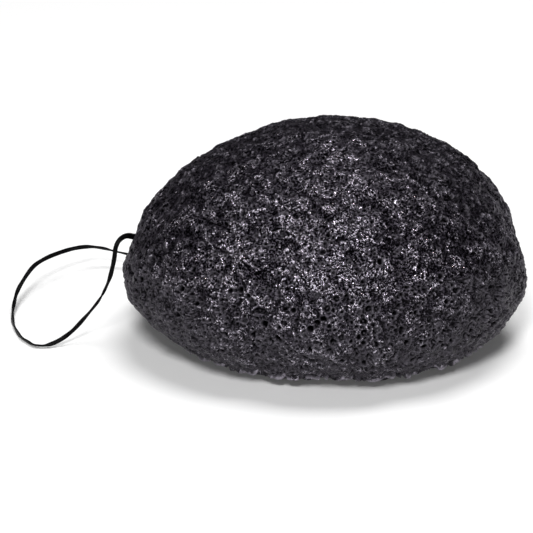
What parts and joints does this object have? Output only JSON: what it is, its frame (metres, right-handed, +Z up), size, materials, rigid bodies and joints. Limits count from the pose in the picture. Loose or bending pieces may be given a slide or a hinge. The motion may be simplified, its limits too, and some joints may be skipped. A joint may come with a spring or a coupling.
{
  "type": "konjac sponge",
  "caption": "Dark half-ball konjac facial sponge with a flat base and a black waxed thread loop sewn through its side for hanging it up to dry.",
  "frame": {"origin": "middle of the flat base, under the middle of the sponge's outline seen from above", "axes": "+Z up from the flat base to the crown, +X away from the side where the thread leaves the sponge, +Y to the back, where the thread's second hole lies"},
  "size_m": [0.101, 0.0775, 0.043],
  "materials": {
    "konjac_foam": "satin",
    "waxed_thread": "satin"
  },
  "bodies": {
    "sponge": {"sponge_body": "konjac_foam", "inner_thread": "waxed_thread", "stopper_knot": "waxed_thread"},
    "loop": {"hanging_loop": "waxed_thread"}
  },
  "joints": [
    {"name": "loop_swing", "type": "hinge", "parent": "sponge", "child": "loop", "pos_m": [-0.03654, 0.00395, 0.019], "axis": [0.4249, 0.823, -0.377], "range_deg": [0, 105]}
  ]
}
